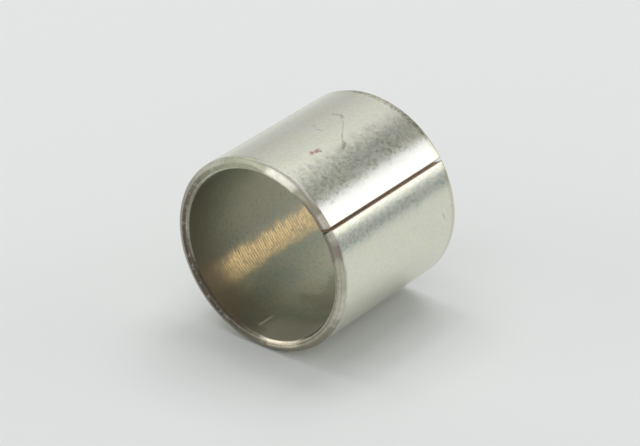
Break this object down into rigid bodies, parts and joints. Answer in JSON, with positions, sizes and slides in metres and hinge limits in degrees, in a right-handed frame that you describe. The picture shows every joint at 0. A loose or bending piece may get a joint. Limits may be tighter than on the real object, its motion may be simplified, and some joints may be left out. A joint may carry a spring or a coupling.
{
  "type": "connecting rod bushing",
  "caption": "Wrapped plain bushing for the small end of a connecting rod: a thin rolled metal sleeve with an open butt joint and bevelled ends.",
  "frame": {"origin": "centre of the lower end face, on the axis of the bore", "axes": "+Z along the axis of the bore, away from the end that it stands on; -Y towards the butt joint; +X to the right when the joint faces the viewer"},
  "size_m": [0.034, 0.034, 0.0305],
  "materials": {
    "tinned_bearing_strip": "satin tin flash outside, bored bronze lining inside, bare cut metal on the end faces"
  },
  "bodies": {
    "root": {"bushing": "tinned_bearing_strip"}
  },
  "joints": []
}
